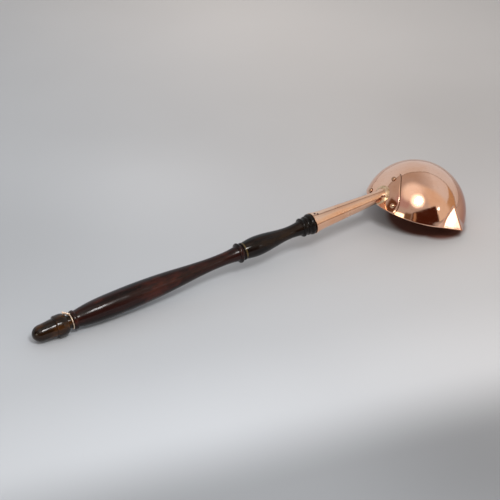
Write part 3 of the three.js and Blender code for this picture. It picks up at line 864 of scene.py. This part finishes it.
lipTip = bowl["radius"] + bowl["lipReach"]
lipRootTurn = (acos(sphereRadius / hypot(lipTip, sphereHeight))
               - atan2(sphereHeight, lipTip))
lipRootHeight = sphereHeight + sphereRadius * sin(lipRootTurn)


def onLevel(height, radius, away):
    return aroundUpright(height, radius, radians(away))


def flankPlane(sign):
    # The flat side of the lip, through its tip, its root and its foot on the rim
    tip = onLevel(0, lipTip, 0)
    root = onLevel(lipRootHeight, levelRadius(lipRootHeight), -bowl["lipLean"])
    foot = onLevel(0, bowl["radius"], sign * bowl["lipHalfAngle"])
    normal = (root - tip).cross(foot - tip).normalized()
    if normal.x < 0:
        normal = -normal
    return normal, normal.dot(tip)


flankPlanes = (flankPlane(-1), flankPlane(1))


def softLower(a, b, reach):
    gap = max(0.0, 1 - abs(a - b) / reach)
    return min(a, b) - reach * gap * gap / 4


def lipPull(height, away):
    # How far the flat flanks stand out of the round bowl. The near one is also pressed into it
    if height >= lipRootHeight or abs(away) > bowl["lipWithin"]:
        return 0.0
    aside = onLevel(0, 1, away)
    near, far = [(offset - normal.z * height) / normal.dot(aside) for normal, offset in flankPlanes]
    gap = softLower(near, far, bowl["crestRound"]) - levelRadius(height)
    if near > far:
        return -softLower(-gap, 0, bowl["creaseRound"])
    edge = bowl["pressedHalfAngle"] * (1 - (height / bowl["pressedTop"]) ** bowl["pressedCurve"])
    gap *= 1 - easeStep(edge, edge + bowl["pressedEase"], -away)
    if gap > 0:
        return gap
    return gap * (1 - easeStep(lipRootHeight - bowl["rootFade"], lipRootHeight, height))


def lipColumns():
    # Degrees from the ridge: close together on the lip, wider round the rest
    limit, fine, wide = bowl["fineTo"], bowl["fineStep"], bowl["wideStep"]
    near = [-limit + fine * i for i in range(round(2 * limit / fine) + 1)]
    rest = [limit + wide * i for i in range(1, round((360 - 2 * limit) / wide))]
    return [away if away <= 180 else away - 360 for away in near + rest]


def bowlPoint(height, radius, away):
    reach = radius + lipPull(max(height, 0.0), away)
    point = onLevel(height, reach, away - bowl["lipFromFarSide"])
    dent = bowl["dents"] * wobbleShare(*(point / bowl["dentSpan"]), 7)
    outward = Vector((point.x, point.y, point.z - sphereHeight)).normalized()
    worn = (dent + bowl["planished"]) * easeStep(0.0, bowl["planishedAbove"], height)
    return point - outward * worn


def bowlProfile():
    # Height and radius of each row: down the outside, round the rim and up the inside
    edge, wall = bowl["edgeRound"], bowl["wall"]

    def arc(out, rows):
        radius = sphereRadius + out
        rimTurn = acos((edge - sphereHeight) / radius)
        turns = [rimTurn * i / rows for i in range(1, rows + 1)]
        return [(sphereHeight + radius * cos(t), radius * sin(t)) for t in turns]

    outer, inner = levelRadius(edge), levelRadius(edge, -wall)
    rounded = quarterRound(edge, bowl["edgeRows"])[1:]
    flat = [i / bowl["rimRows"] for i in range(1, bowl["rimRows"])]
    rim = [(edge - along, outer - drop) for along, drop in rounded]
    rim += [(0.0, lerp(outer - edge, inner + edge, share)) for share in flat]
    rim += [(edge - along, inner + drop) for along, drop in rounded[::-1]]
    return arc(0, bowl["rowsOutside"]), rim, arc(-wall, bowl["rowsInside"])


def makeBowl():
    outside, rim, inside = bowlProfile()
    columns = lipColumns()
    rings = [[bowlPoint(height, radius, away) for away in columns]
             for height, radius in outside + rim + inside[::-1]]
    base = bowl["depth"] - bowl["dents"] * 0.5 - bowl["planished"]
    shape = joinRings(rings, (0, 0, base), (0, 0, base - bowl["wall"]))
    count = len(columns)
    start, end = (len(outside) + len(rim) - 2) * count, (len(rings) - 1) * count
    # The faces round the outside tip come between the inside's rows and its tip
    within = {*range(start, end), *range(end + count, end + 2 * count)}
    addPiece("raised_bowl", shape, bowlFrame, finishes["bowl"], "bowl",
             creaseAngle=24, elsewhere=(finishes["inside"], within))


makeBowl()
print("bowl raised and its lip drawn")


# Saddle plate

plate = {
    "halfWidth": 31.7, "foot": 1.2, "wideHeight": 9.0, "cornerRadius": 5.5, "crownPull": 8.0,
    "sidePull": 13.0, "top": 45.90, "middle": 17.0, "seat": 0.05, "face": 1.7,
    "edgeRound": 0.35, "edgeRows": 6, "unevenness": 0.12, "unevenSpan": 0.11,
    "footSteps": 20, "cornerSteps": 12, "sideSteps": 60, "rings": 14,
}


def plateOutline():
    # Half of the outline, from the middle of the foot round to the crown; the other half mirrors it
    halfWidth, foot, corner = plate["halfWidth"], plate["foot"], plate["cornerRadius"]
    wide, top = plate["wideHeight"], plate["top"]
    footSteps, sideSteps = plate["footSteps"], plate["sideSteps"]
    half = [(lerp(0, halfWidth - corner, i / footSteps), foot) for i in range(footSteps)]
    half += [(halfWidth - corner + along, foot + drop)
             for along, drop in quarterRound(corner, plate["cornerSteps"])]
    half.append((halfWidth, lerp(foot + corner, wide, 0.5)))
    sides = (halfWidth, halfWidth, plate["crownPull"], 0)
    heights = (wide, wide + plate["sidePull"], top, top)
    shares = [i / sideSteps for i in range(sideSteps + 1)]
    half += [(cubic(sides, share), cubic(heights, share)) for share in shares]
    return half + [(-x, y) for x, y in half[-2:0:-1]]


def onPlate(side, height, out):
    radius = sphereRadius + out
    depth = sqrt(radius ** 2 - side ** 2 - (height - sphereHeight) ** 2)
    return Vector((-depth, -side, height))


def makePlate():
    outline = plateOutline()
    count = len(outline)
    inward = []
    for i in range(count):
        x0, y0 = outline[i - 1]
        x1, y1 = outline[(i + 1) % count]
        length = hypot(x1 - x0, y1 - y0)
        inward.append((-(y1 - y0) / length, (x1 - x0) / length))
    middle, face, seat, edge = plate["middle"], plate["face"], plate["seat"], plate["edgeRound"]
    unevenness, span = plate["unevenness"], plate["unevenSpan"]

    def inset(i, cut):
        return outline[i][0] + inward[i][0] * cut, outline[i][1] + inward[i][1] * cut

    def ring(cut, out):
        made = []
        for i, (x, y) in enumerate(outline):
            uneven = unevenness * wobbleShare(x * span, y * span, 0, 8)
            made.append(onPlate(*inset(i, cut + uneven), out))
        return made

    def shrunk(share, out):
        return [onPlate(x * share, lerp(middle, y, share), out) for x, y in inner]

    inner = [inset(i, edge + unevenness * 0.5) for i in range(count)]
    shares = [i / plate["rings"] for i in range(1, plate["rings"])]
    rings = [shrunk(share, face) for share in shares]
    rings += [ring(edge - along, face - drop)
              for along, drop in quarterRound(edge, plate["edgeRows"])]
    rings.append(ring(0, seat))
    rings += [shrunk(share, seat) for share in shares[::-1]]
    shape = joinRings(rings, onPlate(0, middle, face), onPlate(0, middle, seat))
    # The plate's edge wall wears painted shade
    wallStart = (len(shares) + plate["edgeRows"]) * count
    wall = range(wallStart, wallStart + count)
    addPiece("saddle_sheet", shape, bowlFrame, finishes["bowl"], "saddle_plate",
             creaseAngle=40, elsewhere=(finishes["edge"], wall))


makePlate()


# Rivets

rivet = {
    "shankRadius": 2.2, "headRadius": 3.5, "headHeight": 2.9, "headSunk": 0.02,
    "skirtHeight": 0.25, "skirtDraft": 0.1, "paintedShadeRows": 4,
    "clenchRadius": 3.7, "clenchHeight": 1.1, "clenchEdge": 0.6, "clenchRounded": 0.7,
    "topHeight": 37.60, "sideHeight": 9.8, "sideAcross": 23.9, "unevenness": 0.14, "sides": 40,
}


def onBowl(awayAngle, height):
    # Stands upright on the bowl, at an angle from the handle's side
    turn = pi - awayAngle
    point = aroundUpright(height, levelRadius(height), turn)
    outward = Vector((point.x, point.y, height - sphereHeight)).normalized()
    upright = Vector((0, 0, 1)).rotation_difference(outward).to_matrix().to_4x4()
    return Matrix.Translation(point * mm) @ upright


def makeRivets():
    inside = -bowl["wall"]
    outside = plate["face"] - rivet["headSunk"]
    rounded, sides = rivet["clenchRounded"], rivet["sides"]
    sideTurn = asin(rivet["sideAcross"] / levelRadius(rivet["sideHeight"]))
    places = {
        "rivet_top": onBowl(0, rivet["topHeight"]),
        "rivet_left": onBowl(-sideTurn, rivet["sideHeight"]),
        "rivet_right": onBowl(sideTurn, rivet["sideHeight"]),
    }
    for number, (node, place) in enumerate(places.items()):
        turning = (Turning(inside - rivet["clenchHeight"])
            .face(rivet["clenchRadius"] - rivet["clenchEdge"])
            .dome(rivet["clenchHeight"] * rounded, rivet["clenchRadius"], steps=5)
            .cone(rivet["clenchHeight"] * (1 - rounded), rivet["clenchRadius"])
            .face(rivet["shankRadius"])
            .cone(outside - inside, rivet["shankRadius"]))
        skirt = len(turning.cuts) - 2
        turning = (turning
            .face(rivet["headRadius"] - rivet["skirtDraft"])
            .cone(rivet["skirtHeight"], rivet["headRadius"])
            .roundIn(rivet["headHeight"] - rivet["skirtHeight"], 0, steps=14))
        shape = turnedShape(turning.cuts, rivet["unevenness"], 20 + number, aroundUpright, sides)
        # The rows round the head's foot wear painted shade
        dark = range(skirt * sides, (skirt + rivet["paintedShadeRows"]) * sides)
        addPiece(node.replace("rivet", "domed_rivet"), shape, bowlFrame @ place,
                 finishes["rivet"], node, creaseAngle=35,
                 elsewhere=(finishes["edge"], dark))


makeRivets()
print("plate seated and riveted")


# Socket

socket = {
    "gap": 0.3, "mouthRadius": 14.2, "bodyRadius": 12.9, "waistRadius": 7.6, "waist": 500.104,
    "bellLength": 20.0, "flareRise": 2.8, "flareAtTop": 0.1, "flareLength": 10.0,
    "wall": 1.2, "edgeRound": 0.35, "edgeRows": 5,
    "seamStep": 0.7, "seamAngle": 70.0, "seamSpread": 75.0, "seamEdge": 0.8, "paintedLineAngle": 11.5,
    "sides": 144, "stepsOutside": 56, "stepsInside": 16,
    "footGap": 0.1, "footSearch": 12, "footHalvings": 24,
}
socketMouth = foreEnd + socket["gap"]
seamTurn = radians(socket["seamAngle"])
handleToBowl = bowlFrame.inverted() @ handleFrame


def socketRadius(at, turn):
    along = (at - socketMouth) / (socket["waist"] - socketMouth)
    taper = lerp(socket["bodyRadius"], socket["waistRadius"], min(along, 1.0))
    bell = max(0.0, 1 - (at - socketMouth) / socket["bellLength"]) ** 2
    flare = easeStep(socket["waist"], socket["waist"] + socket["flareLength"], at)
    share = lerp(socket["flareAtTop"], 1.0, sin(turn) ** 2)
    return (taper + bell * (socket["mouthRadius"] - socket["bodyRadius"])
            + flare * share * socket["flareRise"])


def seamRise(turn):
    past = (turn - seamTurn) % (2 * pi)
    return socket["seamStep"] * max(0.0, 1 - past / radians(socket["seamSpread"])) ** 2


def beside(at, turn, out):
    return aroundHandle(at, socketRadius(at, turn) + out, turn)


def footAt(turn, out):
    # Where a line along the socket comes to the plate's face
    reach = sphereRadius + plate["face"] + socket["footGap"]

    def meets(at):
        point = (handleToBowl @ (beside(at, turn, out) * mm)) / mm
        return hypot(point.x, point.y, point.z - sphereHeight) < reach

    low = high = socket["waist"] - socket["footSearch"]
    while not meets(high):
        low, high = high, high + 1.0
    for _ in range(socket["footHalvings"]):
        middle = (low + high) / 2
        if meets(middle):
            high = middle
        else:
            low = middle
    return low


def socketTurns():
    last = seamTurn + 2 * pi - radians(socket["seamEdge"])
    return [seamTurn + turn for turn in roundTurns(socket["sides"])] + [last]


def makeSocket():
    edge, wall = socket["edgeRound"], socket["wall"]
    stepsOutside, stepsInside = socket["stepsOutside"], socket["stepsInside"]
    start = socketMouth + edge
    loops = []
    for turn in socketTurns():
        rise = seamRise(turn)
        foot, footInside = footAt(turn, rise), footAt(turn, -wall)
        loop = [beside(socketMouth + drop, turn, rise - edge + along)
                for along, drop in quarterRound(edge, socket["edgeRows"])]
        loop += [beside(lerp(start, foot, i / stepsOutside), turn, rise)
                 for i in range(1, stepsOutside + 1)]
        loop += [beside(lerp(start, footInside, i / stepsInside), turn, -wall)
                 for i in range(stepsInside, -1, -1)]
        loops.append(loop)
    count = len(loops[0])
    outsideRows = socket["edgeRows"] + stepsOutside + 1
    # Two columns at the given angle wear a painted dark reflection; the two by the seam wear painted
    # shade
    paintedColumn = round(((socket["paintedLineAngle"] - socket["seamAngle"]) % 360) * socket["sides"] / 360)
    paintedColumns = (paintedColumn, paintedColumn + 1, len(loops) - 2, len(loops) - 1)
    lines = {loop * count + row for loop in paintedColumns for row in range(outsideRows)}
    addPiece("lapped_socket", joinLoops(loops), handleFrame, finishes["socket"],
             "socket", creaseAngle=40, elsewhere=(finishes["paintedLines"], lines))


makeSocket()
print("socket rolled")


# Braze round the socket's foot

braze = {
    "width": 3.0, "widthWander": 0.7, "widthBias": 0.4, "wanderSpan": 2.2,
    "hollow": 0.35, "hollowWander": 0.12, "gap": 0.06, "lift": 0.10, "sides": 150, "steps": 10,
}


def makeBraze():
    loops = []
    for i in range(braze["sides"]):
        turn = seamTurn + 2 * pi * (i + 0.5) / braze["sides"]
        out = seamRise(turn) + braze["gap"]
        spin = (cos(turn) * braze["wanderSpan"], sin(turn) * braze["wanderSpan"])
        onTube, onSheet = [
            braze["width"] + braze["widthWander"] * (wobble(*spin, depth, seed) - braze["widthBias"])
            for depth, seed in ((0.3, 11), (5.3, 12))]
        hollow = braze["hollow"] + braze["hollowWander"] * wobble(*spin, 9.1, 13)
        corner = footAt(turn, out)
        root = beside(corner, turn, out)
        tubeEdge = beside(corner - onTube, turn, out)
        sheetEdge = beside(footAt(turn, out + onSheet), turn, out + onSheet)
        loop = [root, lerp(root, tubeEdge, 0.5), tubeEdge]
        for j in range(1, braze["steps"]):
            share = j / braze["steps"]
            bow = 4 * share * (1 - share) * hollow * 0.5
            lift = braze["lift"] * min(1.0, 4 * min(share, 1 - share))
            loop.append(lerp(lerp(tubeEdge, sheetEdge, share), root, bow - lift))
        loop += [sheetEdge, lerp(root, sheetEdge, 0.5)]
        loops.append(loop)
    addPiece("braze_ring", joinLoops(loops), handleFrame, finishes["braze"],
             "braze_fillet", creaseAngle=60)


makeBraze()
print("socket brazed to the plate")


# Socket nails

nail = {
    "fromMouth": 6.4, "spacing": 3.2, "turn": 6.0, "stagger": 4.6, "shankRadius": 0.85,
    "headRadius": 1.5, "headHeight": 0.75, "length": 9.0, "headLift": 0.05,
    "unevenness": 0.08, "sides": 28,
}


def makeNails():
    shank, point = nail["shankRadius"], 2 * nail["shankRadius"]
    for number, side in enumerate((-1, 1), start=1):
        at = socketMouth + nail["fromMouth"] + side * nail["spacing"] / 2
        turn = radians(nail["turn"] + side * nail["stagger"])
        place = Matrix.Translation(beside(at, turn, 0) * mm) @ Matrix.Rotation(turn, 4, "X")
        turning = (Turning(-nail["length"])
            .cone(point, shank)
            .cone(nail["length"] - point + nail["headLift"], shank)
            .face(nail["headRadius"])
            .roundIn(nail["headHeight"], 0, steps=8))
        shape = turnedShape(turning.cuts, nail["unevenness"], 30 + number, aroundUpright,
                            nail["sides"])
        addPiece(f"clout_nail_{number}", shape, handleFrame @ place, finishes["nail"],
                 f"socket_nail_{number}", creaseAngle=45)


makeNails()
print("nails driven")
